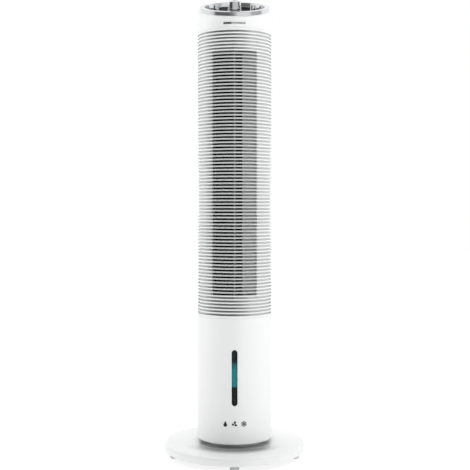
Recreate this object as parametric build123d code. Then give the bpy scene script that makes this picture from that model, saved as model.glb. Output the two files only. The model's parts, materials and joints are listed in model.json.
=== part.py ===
from build123d import *
import math
import os

# Tower evaporative cooler on a round swivel base. Millimetres, +Z up, the front faces -Y,
# the floor is Z = 0 and the tower's axis is the Z axis.

# ---- driving dimensions ------------------------------------------------------------------
# tower
body_r = 86.0  # outside radius of the tower
shell_wall = 2.5
lower_h = 280.6  # plain lower shell
ring_pitch = 7.643  # one ring and one groove
ring_gap = 3.5
ring_depth = 4.0  # how far the grooves go in
ring_count = 84  # grooves over the full height
closed_rings = 6  # grooves with no slot at the top and at the bottom
grille_wall = 2.0
grille_land = 7.0  # plain band above the first and below the last groove
front_wrap = 110.0  # half angle that the front grille covers
outlet_half_w = 49.7
outlet_rib_w = 3.7

# base
base_r = 161.0
base_h = 19.0
base_round = 6.0
base_wall = 3.0
foot_h = 11.0
foot_r = 10.5
foot_pitch_r = 143.0
foot_count = 5
swing_gap = 10.0  # between the base and the tower
ballast_r = 112.0
ballast_h = 5.0
bottom_plate_h = 2.5

# swivel
neck_r = 62.0
post_r = 15.0
cable_bore_r = 6.0
plate_h = 4.0
gear_module = 1.25
gear_teeth = 48
pinion_teeth = 18
gear_h = 8.0
swing_motor_r = 21.0
swing_motor_h = 18.0

# fastenings and the cord's way in
screw_r = 1.9
gland_r = 6.0
cord_r = 3.6
cord_h = 32.0  # above the tower's lower edge

# water side
tank_half_w = 64.5
tank_wall = 2.2
tank_bay_z = 104.0
tank_bay_drop = 20.6  # from the grille's lower edge to the bay's top
tank_drop = 7.7  # from the bay's top to the tank's rim
window_w = 13.0
window_rise = 22.5  # from the bay's floor to the window
window_drop = 48.5  # from the bay's top to the window
float_r = 6.0
float_h = 54.0
float_above_mid = 4.5  # the float's middle over the window's
float_up = 33.0  # travel from the level shown to a full tank
pump_r = 17.0
pump_h = 28.0
riser_r = 4.0
riser_xy = (44.0, 36.0)

# blower
wheel_r = 40.0
wheel_xy = (-4.0, -6.0)
blade_count = 30
shaft_r = 3.0
motor_r = 38.0
motor_h = 34.0
duct_wall = 2.0

# cooling cassette
cassette_half_w = 48.5
cassette_bay_half_w = 50.5
pad_depth = 13.0

# top
cap_front_h = 22.7  # plain band above the grille, at the front
top_slope = 19.5  # degrees, the top faces forwards
bezel_r = 81.0
bezel_inner_r = 69.5
bezel_h = 9.6
panel_sink = 0.9
panel_h = 3.0
speed_knob_r = 17.0
speed_knob_h = 22.5
side_knob_r = 8.0
side_knob_h = 13.5
side_knob_x = 43.0
knob_gap = 0.8
knob_draft = 7.0  # degrees, the knobs narrow towards their tops
shaft_length = 10.0  # below the panel's face

# clearances
fit_gap = 0.3  # between pieces that move past each other
turn_gap = 0.15  # under the tower, on its sliding washer
running_gap = 0.06  # shafts in bearings
hole_gap = 0.1
panel_gap = 0.4  # seams round removable panels

# ---- worked out from them ----------------------------------------------------------------
base_z = foot_h
base_top = base_z + base_h
body_z = base_top + swing_gap
body_inner_r = body_r - shell_wall
grille_z = body_z + lower_h
grille_h = (ring_count - 1) * ring_pitch + ring_gap + 2 * grille_land
cap_z = grille_z + grille_h
comb_r = body_r - ring_depth
grille_inner_r = comb_r - grille_wall
first_groove = cap_z - grille_land - ring_gap / 2  # centre of the top groove
outlet_top = first_groove - closed_rings * ring_pitch + ring_gap / 2
outlet_bottom = first_groove - (ring_count - 1 - closed_rings) * ring_pitch - ring_gap / 2
slope = math.tan(math.radians(top_slope))
rim_mid_z = cap_z + cap_front_h + body_r * slope
neck_top = body_z - 2
post_top = body_z + 26
floor_z = body_z + fit_gap
hub_top = floor_z + 10.3
gear_z = hub_top + 2 * fit_gap
cord_z = body_z + cord_h
bay_top = grille_z - tank_bay_drop
deck_z = bay_top + 12
window_z = (tank_bay_z + window_rise, bay_top - window_drop)
window_mid_z = sum(window_z) / 2
window_h = window_z[1] - window_z[0]
gear_reach = gear_module * (gear_teeth + pinion_teeth) / 2 + 0.1
motor_plate_z = outlet_top + 0.4
bearing_plate_z = outlet_bottom - 11.7
chassis_h = 8.0
cassette_bay = (grille_z + 25.4, cap_z - 22.5)
chassis_back_y = 45.0


# ---- helpers -----------------------------------------------------------------------------
def disc(radius, low, high, at=(0, 0)):
    return Pos(at[0], at[1], low) * extrude(Circle(radius), high - low)


def ring(outer, inner, low, high, at=(0, 0)):
    return Pos(at[0], at[1], low) * extrude(Circle(outer) - Circle(inner), high - low)


def block(x, y, z):
    """A box from its lowest and highest x, y and z."""
    size = (x[1] - x[0], y[1] - y[0], z[1] - z[0])
    return Pos(x[0], y[0], z[0]) * Box(*size, align=(Align.MIN,) * 3)


def polar(radius, degrees):
    """A point at that radius, degrees from the front (-Y) towards +X."""
    a = math.radians(degrees)
    return (radius * math.sin(a), -radius * math.cos(a))


def turned(points, arc=360.0, middle=0.0):
    """A closed (radius, height) outline turned about Z, centred at middle degrees from the front."""
    face = make_face(Plane.XZ * Polyline(*points, close=True))
    return Rot(0, 0, middle - 90 - arc / 2) * revolve(face, Axis.Z, arc)


def below_slope(rise):
    """The space below the slanted rim plane, moved up by rise."""
    reach = 2 * body_r
    low = body_z - reach
    edge = [(-reach, low), (reach, low)]
    edge += [(reach, rim_mid_z + rise + reach * slope), (-reach, rim_mid_z + rise - reach * slope)]
    face = make_face(Plane.YZ * Polyline(*edge, close=True))
    return extrude(face, reach, both=True)


def slanted_ring(outer, inner, low, high):
    """A vertical ring between two slanted planes, low and high measured from the rim plane."""
    wall = Circle(outer) - Circle(inner) if inner else Circle(outer)
    tall = Pos(0, 0, body_z) * extrude(wall, 2 * cap_z)
    return (tall & below_slope(high)) - below_slope(low)


def panel_place(x, height):
    """A place on the control panel, height above its face along the face's normal."""
    angle = math.radians(top_slope)
    face_z = rim_mid_z - panel_sink
    return Pos(x, -height * math.sin(angle), face_z + height * math.cos(angle)) * Rot(top_slope, 0, 0)


def comb(arc, middle, low, high):
    """A ringed wall segment with outside grooves, between two heights."""
    points = [(grille_inner_r, low), (body_r, low)]
    for i in reversed(range(ring_count)):
        z = first_groove - i * ring_pitch
        if low + 0.5 < z - ring_gap / 2 and z + ring_gap / 2 < high - 0.5:
            points += [(body_r, z - ring_gap / 2), (comb_r, z - ring_gap / 2)]
            points += [(comb_r, z + ring_gap / 2), (body_r, z + ring_gap / 2)]
    points += [(body_r, high), (grille_inner_r, high)]
    return turned(points, arc, middle)


def gear(teeth, bore_r, height, phase):
    """A spur gear with involute teeth; phase in degrees turns a tooth away from +X."""
    pitch_r = gear_module * teeth / 2
    base = pitch_r * math.cos(math.radians(20))
    root_r, tip_r = pitch_r - 1.2 * gear_module, pitch_r + 0.85 * gear_module
    half_tooth = (math.pi * gear_module / 2 - 0.22) / (2 * pitch_r)

    def roll(a):
        return math.tan(a) - a

    flank = []
    for i in range(5):
        r = max(base, root_r) + i * (tip_r - max(base, root_r)) / 4
        half = half_tooth + roll(math.radians(20)) - roll(math.acos(min(1.0, base / r)))
        flank.append((r, half))
    low = min(flank[0][0], root_r) - 0.4
    right = [(low * math.cos(-flank[0][1]), low * math.sin(-flank[0][1]))]
    right += [(r * math.cos(-a), r * math.sin(-a)) for r, a in flank]
    left = [(x, -y) for x, y in reversed(right)]
    tooth = make_face(Polyline(*right, *left, close=True))
    outline = Circle(root_r) + [Rot(0, 0, phase + i * 360 / teeth) * tooth for i in range(teeth)]
    return extrude(outline - Circle(bore_r), height) if bore_r else extrude(outline, height)


# ---- base --------------------------------------------------------------------------------
screw_pitch_r = ballast_r + 10
neck_screw_r = post_r + 9.5


def around(count, radius, start=0.0):
    return [polar(radius, start + i * 360 / count) for i in range(count)]


def base_cover():
    under = base_top - base_wall
    body = disc(base_r, base_z, base_top)
    body = fillet(body.edges().group_by(Axis.Z)[-1], base_round)
    body = fillet(body.edges().group_by(Axis.Z)[0], 1.5)
    body -= disc(base_r - base_wall - 2, base_z - 1, under)
    for at in around(foot_count, screw_pitch_r, 36):
        body += disc(4.5, base_z + bottom_plate_h, under, at) - disc(2, base_z, under - 2, at)
    body -= disc(post_r + 4.7, under - 1, base_top + 1)
    for at in around(4, neck_screw_r, 45):
        body -= disc(2.1, under - 1, base_top + 1, at)
    return body


def base_bottom():
    plate = disc(base_r - base_wall - 2.2, base_z, base_z + bottom_plate_h)
    for at in around(foot_count, screw_pitch_r, 36):
        plate -= disc(2.1, base_z - 1, base_z + 4, at)
    for at in around(foot_count, foot_pitch_r):
        plate -= disc(4, base_z - 1, base_z + 4, at)
    return plate - disc(cable_bore_r + 3, base_z - 1, base_z + 4)


def ballast_plate():
    low = base_z + bottom_plate_h
    return ring(ballast_r, neck_screw_r + 6, low, low + ballast_h)


def rubber_feet():
    feet = []
    for at in around(foot_count, foot_pitch_r):
        foot = disc(foot_r, 0, foot_h, at)
        foot = fillet(foot.edges().group_by(Axis.Z)[0], 1.5)
        feet.append(foot + disc(3.9, foot_h - 1, foot_h + bottom_plate_h, at))
    return Compound(children=feet)


def pan_screw(at, seat, length):
    """A pan head screw driven upwards, with the flat of its head at seat."""
    return disc(3.4, seat - 2, seat, at) + disc(screw_r, seat, seat + length, at)


def base_screws():
    places = around(foot_count, screw_pitch_r, 36)
    return Compound(children=[pan_screw(at, base_z, 12) for at in places])


def swing_neck():
    under = base_top - base_wall
    neck = disc(post_r + 4.5, under - 2, base_top) + disc(neck_r, base_top, neck_top)
    neck += disc(post_r, neck_top, post_top)
    neck -= disc(cable_bore_r, under - 3, post_top + 1)
    for at in around(4, neck_screw_r, 45):
        neck -= disc(2, base_top - 1, base_top + 6, at)
    return neck


def neck_screws():
    places = around(4, neck_screw_r, 45)
    return Compound(children=[pan_screw(at, base_top - base_wall, 8) for at in places])


def swing_washer():
    return ring(neck_r - 4, post_r + 2, neck_top, floor_z - turn_gap)


def swing_gear():
    return Pos(0, 0, gear_z) * gear(gear_teeth, post_r, gear_h, 0)


def pivot_collar():
    return ring(post_r + 8, post_r, gear_z + gear_h, post_top - 1)


# ---- tower, lower half -------------------------------------------------------------------
floor_screw_r = body_inner_r - 7.5
floor_screw_seat = floor_z + 2.1
motor_z = gear_z + gear_h + 6.5


def floor_plate():
    plate = disc(body_inner_r - 0.1, floor_z, floor_z + plate_h)
    plate += disc(post_r + 7, floor_z, hub_top)
    plate -= disc(post_r + running_gap, floor_z - 1, hub_top + 1)
    for side in (-1, 1):
        plate += disc(3.5, floor_z, motor_z, (gear_reach, side * 26))
    for at in around(4, floor_screw_r, 45):
        plate -= disc(2, floor_z - 1, floor_z + plate_h + 1, at)
        plate -= disc(4, floor_z - 1, floor_screw_seat, at)
    return plate


def floor_screws():
    places = around(4, floor_screw_r, 45)
    return Compound(children=[pan_screw(at, floor_screw_seat, 12) for at in places])


def lower_shell():
    tube = disc(body_r, body_z, grille_z)
    tube = fillet(tube.edges().group_by(Axis.Z)[0], 1.2)
    tube -= disc(body_inner_r, body_z - 1, grille_z + 1)
    for at in around(4, floor_screw_r, 45):
        low = floor_z + plate_h
        tube += disc(4, low, low + 16, at) - disc(screw_r + hole_gap, low, low + 13, at)
        outward = (at[0] * 1.06, at[1] * 1.06)
        tube += (disc(4, low, low + 16, outward) - disc(4, low, low + 16, at)) & disc(body_r - 1, low, low + 16)
    slot = Pos(0, -body_r, window_mid_z) * Rot(90, 0, 0) * SlotOverall(window_h, window_w, rotation=90)
    tube -= extrude(slot, 20, both=True)
    tube -= block((-tank_half_w - 1.5, tank_half_w + 1.5), (0, 2 * body_r), (tank_bay_z, bay_top))
    tube -= Pos(0, body_r, cord_z) * Rot(90, 0, 0) * Cylinder(gland_r, 20)
    return tube


def cord_gland():
    tube = Pos(0, body_r - 3, cord_z) * Rot(90, 0, 0) * Cylinder(gland_r - 0.1, 12)
    flange = Pos(0, body_r + 1.7, cord_z) * Rot(90, 0, 0) * Cylinder(gland_r + 2.5, 2.8)
    return tube + flange - Pos(0, body_r, cord_z) * Rot(90, 0, 0) * Cylinder(cord_r, 40)


def level_lens():
    pane = ring(body_r, body_inner_r, window_mid_z - window_h, window_mid_z + window_h)
    slot = Pos(0, -body_r, window_mid_z) * Rot(90, 0, 0) * SlotOverall(window_h, window_w, rotation=90)
    return pane & extrude(slot, 20, both=True)


def tank_shelf():
    plate = disc(body_inner_r, tank_bay_z - 3, tank_bay_z)
    return plate - disc(5, tank_bay_z - 4, tank_bay_z + 1, (-60, 40))


def mid_deck():
    deck = disc(body_inner_r, deck_z, deck_z + plate_h)
    for hole_r, at in ((riser_r, riser_xy), (drain_r, (0, tray_y[0] + 8))):
        deck -= disc(hole_r + hole_gap, deck_z - 1, deck_z + plate_h + 1, at)
    return deck


def swing_motor():
    at = (gear_reach, 0)
    can = disc(swing_motor_r, motor_z + 2, motor_z + 2 + swing_motor_h, at)
    ears = Pos(gear_reach, 0, motor_z) * extrude(SlotCenterToCenter(52, 9, rotation=90), 2)
    can += disc(swing_motor_r, motor_z, motor_z + 2, at) + ears
    return can - disc(2.5 + running_gap, motor_z - 1, motor_z + 6, at)


def swing_pinion():
    at = Pos(gear_reach, 0, gear_z)
    # a gap of the pinion faces the gear's tooth on +X
    wheel = gear(pinion_teeth, 0, gear_h, 180 + 180 / pinion_teeth)
    return at * wheel + disc(2.5, gear_z + gear_h, motor_z + 5, (gear_reach, 0))


# ---- water tank --------------------------------------------------------------------------
tank_z = tank_bay_z + fit_gap
tank_top = bay_top - tank_drop
tank_front_r = body_inner_r - 3.0


def tank_plan(inset):
    """The tank's outline seen from above, set in by inset."""
    half = tank_half_w - inset
    front = Circle(tank_front_r - inset) & Pos(0, -body_r) * Rectangle(2 * half, 2 * body_r)
    back = Circle(body_inner_r - inset) & Pos(0, body_r / 2) * Rectangle(2 * half, body_r)
    return front + back


def water_tank():
    tank = Pos(0, 0, tank_z) * extrude(tank_plan(0), tank_top - tank_z)
    return tank - Pos(0, 0, tank_z + tank_wall) * extrude(tank_plan(tank_wall), tank_top)


def tank_door():
    z = (tank_bay_z + panel_gap, bay_top - panel_gap)
    half = tank_half_w + 1.5 - panel_gap
    door = ring(body_r, body_inner_r, *z) & block((-half, half), (0, 2 * body_r), z)
    grip_z = bay_top - 34
    pull = Pos(0, body_r, grip_z) * Rot(90, 0, 0) * extrude(SlotOverall(70, 22), 1.4, both=True)
    pull &= disc(body_r + 1, grip_z - 30, grip_z + 30)
    return door - (pull - disc(body_r - 1.4, grip_z - 30, grip_z + 30))


def tank_lid():
    lid = Pos(0, 0, tank_top) * extrude(tank_plan(0.5), 2.4)
    lid -= block((-34, 18), (-46, 40), (tank_top - 1, tank_top + 4))
    return lid - disc(riser_r + hole_gap, tank_top - 1, tank_top + 4, riser_xy)


float_y = -tank_front_r + tank_wall + float_r + 1.2
float_z = (window_mid_z + float_above_mid - float_h / 2, window_mid_z + float_above_mid + float_h / 2)


def float_guide():
    z = (window_z[0] - 4, float_z[1] + float_up + 5)
    y = (-tank_front_r, -tank_front_r + tank_wall + 2 * float_r + 3)
    half = float_r + 3
    rails = block((-half, half), y, z) - block((-float_r - 0.6, float_r + 0.6), y, (z[0] + 3, z[1] - 3))
    return rails & disc(tank_front_r - tank_wall, *z)


def level_float():
    body = disc(float_r, *float_z, (0, float_y))
    return fillet(body.edges().filter_by(GeomType.CIRCLE), 2.5)


chamber_z = (tank_z + tank_wall + 3, tank_z + tank_wall + 12)


def pump_case():
    low = tank_z + tank_wall
    case = disc(pump_r, low, low + pump_h, riser_xy)
    case = fillet(case.edges().group_by(Axis.Z)[-1], 3)
    case += disc(riser_r, low + pump_h - 1, bay_top - 1, riser_xy)
    case -= disc(riser_r - 1.5, chamber_z[1] - 1, bay_top, riser_xy)
    case -= disc(pump_r - 4, *chamber_z, riser_xy)
    x, y = riser_xy
    return case - block((x - 6, x + 6), (y - pump_r - 1, y - pump_r + 5), (chamber_z[0] + 1, chamber_z[1] - 1))


def pump_impeller():
    low, high = chamber_z[0] + fit_gap, chamber_z[1] - 1.5
    rotor = disc(pump_r - 8, low, low + 2, riser_xy) + disc(1.6, low, high, riser_xy)
    for i in range(6):
        vane = block((1, pump_r - 5), (-0.6, 0.6), (low, high))
        rotor += Pos(*riser_xy, 0) * Rot(0, 0, 60 * i) * vane
    return rotor


# ---- tower, middle -----------------------------------------------------------------------
drain_r = 4.0
tray_y = (chassis_back_y + 1, math.sqrt((grille_inner_r - 1) ** 2 - cassette_half_w**2))
cassette_back_y = tray_y[1] - 0.4
cassette_y = (cassette_back_y - pad_depth, cassette_back_y)


def front_grille():
    wall = comb(2 * front_wrap, 0, grille_z, cap_z)
    half_pitch = (ring_pitch - ring_gap) / 2
    for side in (-1, 1):
        x = sorted((side * outlet_rib_w / 2, side * outlet_half_w))
        window = block(x, (-comb_r, 0), (outlet_bottom - half_pitch / 2, outlet_top + half_pitch / 2))
        wall -= window & disc(comb_r, outlet_bottom - half_pitch, outlet_top + half_pitch)
    return wall


screw_azimuths = (-117.0, 117.0)


def rear_screw_places():
    for z in (bearing_plate_z + chassis_h / 2, motor_plate_z + chassis_h / 2):
        for azimuth in screw_azimuths:
            yield Pos(0, 0, z) * Rot(0, 0, azimuth) * Rot(90, 0, 0)


def rear_shell():
    wall = comb(360 - 2 * front_wrap, 180, grille_z, cap_z)
    wall -= block((-cassette_bay_half_w, cassette_bay_half_w), (0, 2 * body_r), cassette_bay)
    for place in rear_screw_places():
        wall -= place * Pos(0, 0, comb_r + 10) * Cylinder(3.6, 20)
        wall -= place * Pos(0, 0, comb_r) * Cylinder(1.7, 20)
    return wall


def rear_screws():
    made = []
    for place in rear_screw_places():
        shank = place * Pos(0, 0, comb_r - 6) * Cylinder(1.5, 12)
        made.append(shank + place * Pos(0, 0, comb_r + 1) * Cylinder(3, 2))
    return Compound(children=made)


def chassis_plate(low):
    """A D-shaped plate that stiffens the tower and carries one end of the blower."""
    plan = Circle(grille_inner_r) & Pos(0, chassis_back_y - body_r) * Rectangle(2 * body_r, 2 * body_r)
    plate = Pos(0, 0, low) * extrude(plan, chassis_h)
    plate -= disc(riser_r + hole_gap, low - 1, low + chassis_h + 1, riser_xy)
    for place in rear_screw_places():
        plate -= place * Pos(0, 0, comb_r - 7) * Cylinder(1.6, 14)
    return plate


bearing_r = 8.0


def bearing_plate():
    return chassis_plate(bearing_plate_z) - disc(bearing_r, 0, cap_z, wheel_xy)


def lower_bearing():
    return ring(bearing_r, shaft_r + running_gap, bearing_plate_z, bearing_plate_z + chassis_h, wheel_xy)


def motor_plate():
    return chassis_plate(motor_plate_z) - disc(10, 0, cap_z, wheel_xy)


def fan_motor():
    low = motor_plate_z + chassis_h
    can = disc(motor_r, low, low + motor_h, wheel_xy)
    can = fillet(can.edges().group_by(Axis.Z)[-1], 4)
    can += ring(9.5, 6, low - 4, low + 1, wheel_xy)
    return can - disc(shaft_r + running_gap, low - 5, low + 14, wheel_xy)


duct_z = (bearing_plate_z + chassis_h, motor_plate_z)


def duct(path):
    return Pos(0, 0, duct_z[0]) * extrude(trace(path, duct_wall), duct_z[1] - duct_z[0])


def duct_corner(side):
    """Where a duct wall meets the inside of the grille, beside the outlet."""
    x = outlet_half_w + 2
    return (side * x, -math.sqrt((grille_inner_r - 1.6) ** 2 - x**2))


def near_wheel(gap, degrees):
    """A point that far outside the wheel, degrees round from +X."""
    a = math.radians(degrees)
    return (wheel_xy[0] + (wheel_r + gap) * math.cos(a), wheel_xy[1] + (wheel_r + gap) * math.sin(a))


def blower_housing():
    scroll = ThreePointArc(near_wheel(4, 120), near_wheel(7, 165), near_wheel(14, 205))
    return duct(Curve() + [scroll, Line(scroll @ 1, duct_corner(-1))])


def outlet_tongue():
    tip = near_wheel(4.5, -62)
    bend = [duct_corner(1), tip, near_wheel(5, -38), near_wheel(11, 0)]
    bend.append((grille_inner_r - 4, wheel_xy[1] + 18))
    return duct(FilletPolyline(*bend, radius=[1.5, 12, 20]))


wheel_z = (outlet_bottom + 2.3, outlet_top - 3.6)


def blower_wheel():
    low, high = wheel_z
    blade_in, blade_out = wheel_r - 8, wheel_r - 0.8
    middle = (wheel_r - 4.8, 2.0)
    arc = ThreePointArc((blade_in, 0), middle, (blade_out, 6.5))
    blades = [Rot(0, 0, i * 360 / blade_count) * trace(arc, 1.0) for i in range(blade_count)]
    wheel = Pos(0, 0, low + 1) * extrude(Sketch() + blades, high - low - 2)
    cells = 6
    for i in range(cells + 1):
        z = low + i * (high - low - 2.5) / cells
        bore = shaft_r if i in (0, cells) else wheel_r - 9
        wheel += ring(wheel_r, bore, z, z + 2.5)
    return Pos(*wheel_xy, 0) * wheel


def rotor_shafts():
    low = disc(shaft_r, bearing_plate_z, wheel_z[0] + 2.5, wheel_xy)
    high = disc(shaft_r, wheel_z[1] - 2.5, motor_plate_z + chassis_h + 12, wheel_xy)
    return Compound(children=[low, high])


def drip_tray():
    z = (grille_z + 9, cassette_bay[0] - 2)
    half = cassette_half_w - 0.5
    tray = block((-half, half), tray_y, z)
    tray -= block((-half + 2, half - 2), (tray_y[0] + 2, tray_y[1] - 2), (z[0] + 2, z[1] + 1))
    for side in (-1, 1):
        x = side * (half - 10)
        tray += block((x - 4, x + 4), (tray_y[0] + 4, tray_y[1] - 4), (deck_z + plate_h, z[0] + 1))
    spout_y = tray_y[0] + 8
    tray += disc(drain_r, bay_top + 3, z[0] + 1, (0, spout_y))
    return tray - disc(drain_r - 1.2, bay_top + 2, z[0] + 3, (0, spout_y))


channel_z = cassette_bay[1] + 2


def water_channel():
    half = cassette_half_w - 1
    z = (channel_z, channel_z + 12)
    channel = block((-half, half), (tray_y[0] + 1, tray_y[1]), z)
    channel -= block((-half + 2, half - 2), (tray_y[0] + 3, tray_y[1] - 2), (z[0] + 2, z[1] + 1))
    wall_clip = block((-10, 10), (tray_y[1] - 1, body_r), z)
    channel += wall_clip & disc(grille_inner_r, *z)
    for i in range(11):
        channel -= disc(1.2, z[0] - 1, z[0] + 3, ((i - 5) * (half - 4) / 5, sum(tray_y) / 2))
    at = (riser_xy[0], tray_y[0], z[0] + 6)
    return channel - Pos(*at) * Rot(90, 0, 0) * Cylinder(riser_r - 1.5, 12)


def riser_pipe():
    x, y = riser_xy
    z = channel_z + 6
    path = FilletPolyline((x, y, bay_top + 1), (x, y, z), (x, tray_y[0] + 1, z), radius=riser_r + 2)
    start = Plane((x, y, bay_top + 1))
    return sweep(start * (Circle(riser_r) - Circle(riser_r - 1.5)), path)


# ---- cooling cassette --------------------------------------------------------------------
def filter_panel():
    z = (cassette_bay[0] + panel_gap, cassette_bay[1] - panel_gap)
    half = cassette_bay_half_w - panel_gap
    panel = comb(120, 180, *z) & block((-half, half), (0, 2 * body_r), z)
    slots = []
    edges = [(-half + 6, -half / 2 - 1.5), (-half / 2 + 1.5, -1.5), (1.5, half / 2 - 1.5), (half / 2 + 1.5, half - 6)]
    for x in edges:
        slots.append(block(x, (0, 2 * body_r), (z[0] + 14, z[1] - 26)))
    panel -= [slot & disc(comb_r, *z) for slot in slots]
    grip = block((-20, 20), (0, 2 * body_r), (z[1] - 20, z[1] - 8))
    return panel - (grip - disc(comb_r, *z))


def filter_mesh():
    z = (cassette_bay[0] + 8, cassette_bay[1] - 18)
    half = cassette_half_w - 5.5
    return ring(grille_inner_r, grille_inner_r - 0.8, *z) & block((-half, half), (0, 2 * body_r), z)


pad_z = (cassette_bay[0] + 4, cassette_bay[1] - 4)


def pad_frame():
    half = cassette_half_w
    frame = block((-half, half), cassette_y, pad_z)
    frame -= block((-half + 3.5, half - 3.5), cassette_y, (pad_z[0] + 4, pad_z[1] - 4))
    for bar in range(1, 4):
        z = pad_z[0] + bar * (pad_z[1] - pad_z[0]) / 4
        frame += block((-half, half), (cassette_y[0], cassette_y[0] + 2), (z - 2, z + 2))
    hole_y = (cassette_y[0] + 2, cassette_y[1])
    frame -= block((-half + 8, half - 8), hole_y, (pad_z[1] - 6, pad_z[1] + 1))
    for side in (-1, 1):
        for z in (pad_z[0] + 30, pad_z[1] - 42):
            x = sorted((side * half, side * (half - 3)))
            frame += block(x, (cassette_y[1] - 1, body_r), (z, z + 12)) & disc(grille_inner_r, *pad_z)
    return frame


def cooling_pad():
    half = cassette_half_w - 3.5
    return block((-half, half), (cassette_y[0] + 2, cassette_y[1]), (pad_z[0] + 4, pad_z[1] - 6))


# ---- top ---------------------------------------------------------------------------------
def cap_deck():
    deck = disc(body_inner_r, cap_z, cap_z + 3)
    for at in board_posts:
        deck += disc(3, cap_z + 2, cap_z + 8, at)
    return deck - disc(6, cap_z - 1, cap_z + 4, (-50, 40))


board_posts = [(x, y) for x in (-26, 26) for y in (28, 60)]


def control_board():
    low = cap_z + 8
    board = block((-32, 32), (22, 66), (low, low + 1.6))
    board += block((-20, -4), (34, 52), (low + 1.5, low + 14)) + block((4, 24), (36, 46), (low + 1.5, low + 9))
    return board


def top_cap():
    cap = slanted_ring(body_r, body_inner_r, -cap_z, 0) & disc(body_r, cap_z, 2 * cap_z)
    flange = slanted_ring(body_r - 1, bezel_inner_r, -2.5, 0)
    ledge = slanted_ring(bezel_inner_r + 3, bezel_inner_r - 4, -panel_sink - panel_h - 2.5, -panel_sink - panel_h)
    web = slanted_ring(bezel_inner_r + 3, bezel_inner_r, -panel_sink - panel_h - 1, -1)
    return cap + flange + ledge + web


def bezel_ring():
    bezel = slanted_ring(bezel_r, bezel_inner_r, 0, bezel_h)
    return fillet(bezel.edges().group_by(Axis.Z)[-1], 1.5)


def control_panel():
    panel = slanted_ring(bezel_inner_r - 0.1, 0, -panel_sink - panel_h, -panel_sink)
    for x in (-side_knob_x, 0, side_knob_x):
        panel -= panel_place(x, 0) * Cylinder(shaft_r + 1, 4 * panel_h)
    return panel


panel_under = panel_h * math.cos(math.radians(top_slope))  # along the panel's normal


def switch_body(x, outline, depth):
    """A control's housing under the panel, bored for its shaft."""
    body = panel_place(x, -panel_under - depth) * extrude(outline, depth)
    return body - panel_place(x, 0) * Cylinder(shaft_r + running_gap, 2 * (shaft_length + 1))


def speed_switch():
    return switch_body(0, RectangleRounded(34, 30, 3), 20)


def timer_unit():
    return switch_body(-side_knob_x, Circle(18), 26)


def mode_switch():
    return switch_body(side_knob_x, RectangleRounded(26, 26, 3), 18)


def knob(x, radius, height):
    """A turned knob with a pointer groove in its top, and the shaft that goes into its switch."""
    body = extrude(Circle(radius), height, taper=knob_draft)
    body = fillet(body.edges().group_by(Axis.Z)[-1], 0.12 * radius)
    pointer = Pos(0, 0.4 * radius, height) * Box(0.12 * radius, 0.5 * radius, 1)
    shaft = Pos(0, 0, -knob_gap - shaft_length) * extrude(Circle(shaft_r), shaft_length + knob_gap + 1)
    return panel_place(x, knob_gap) * (body - pointer + shaft)


def speed_knob():
    return knob(0, speed_knob_r, speed_knob_h)


def timer_knob():
    return knob(-side_knob_x, side_knob_r, side_knob_h)


def mode_knob():
    return knob(side_knob_x, side_knob_r, side_knob_h)


pieces = [
    base_cover, base_bottom, ballast_plate, rubber_feet, base_screws, swing_neck, neck_screws,
    swing_washer, swing_gear, pivot_collar,
    floor_plate, floor_screws, lower_shell, cord_gland, level_lens, tank_shelf, mid_deck, swing_motor,
    swing_pinion,
    water_tank, tank_door, tank_lid, float_guide, level_float, pump_case, pump_impeller,
    front_grille, rear_shell, rear_screws, bearing_plate, lower_bearing, motor_plate, fan_motor,
    blower_housing, outlet_tongue, blower_wheel, rotor_shafts, drip_tray, water_channel, riser_pipe,
    filter_panel, filter_mesh, pad_frame, cooling_pad,
    cap_deck, control_board, top_cap, bezel_ring, control_panel,
    speed_switch, timer_unit, mode_switch, speed_knob, timer_knob, mode_knob,
]

os.makedirs("parts", exist_ok=True)
for piece in pieces:
    shape = piece()
    export_step(shape, f"parts/{piece.__name__}.step")
    print(piece.__name__, len(shape.solids()), round(shape.volume))
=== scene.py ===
import json
import math

import bmesh
import bpy
from mathutils import Matrix, Vector


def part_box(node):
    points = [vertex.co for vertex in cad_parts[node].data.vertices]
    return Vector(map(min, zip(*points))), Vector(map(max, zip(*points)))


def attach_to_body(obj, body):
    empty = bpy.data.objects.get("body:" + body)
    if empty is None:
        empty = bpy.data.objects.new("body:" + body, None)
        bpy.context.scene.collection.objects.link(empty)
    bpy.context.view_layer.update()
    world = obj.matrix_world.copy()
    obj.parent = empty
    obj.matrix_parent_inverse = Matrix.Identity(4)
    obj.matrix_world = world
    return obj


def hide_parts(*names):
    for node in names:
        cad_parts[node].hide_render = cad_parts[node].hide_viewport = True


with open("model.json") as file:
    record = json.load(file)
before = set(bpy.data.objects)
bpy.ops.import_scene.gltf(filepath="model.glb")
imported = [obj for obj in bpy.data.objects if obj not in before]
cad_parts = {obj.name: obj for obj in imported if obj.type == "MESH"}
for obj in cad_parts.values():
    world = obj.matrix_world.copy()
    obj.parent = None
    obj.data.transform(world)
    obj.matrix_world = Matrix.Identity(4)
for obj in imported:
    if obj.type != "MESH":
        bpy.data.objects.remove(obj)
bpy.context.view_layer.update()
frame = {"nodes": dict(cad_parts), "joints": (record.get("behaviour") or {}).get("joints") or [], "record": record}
mm = 0.001
print("frame loaded:", len(frame["nodes"]), "nodes")

# Places that the frame gives: the front faces -Y and the tower turns about Z.
towerLow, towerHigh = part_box("lower_shell")
grilleLow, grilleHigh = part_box("front_grille")
towerR = -towerLow.y
slotOf = {part["node"]: part["material_slot"] for part in frame["record"]["subparts"]}
jointOf = {joint["name"]: joint for joint in frame["joints"]}
bodies = frame["record"]["behaviour"]["bodies"]
bodyOf = {node: body for body, nodes in bodies.items() for node in nodes}
panelAxis = Vector(jointOf["speed_turn"]["axis"])
panelCentre = Vector(jointOf["speed_turn"]["pos_m"])
panelSlope = -panelAxis.y / panelAxis.z
panelSink = 0.9 * mm  # the panel's face lies this far under the cap's rim
rimMid = panelCentre.z + panelSink


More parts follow.
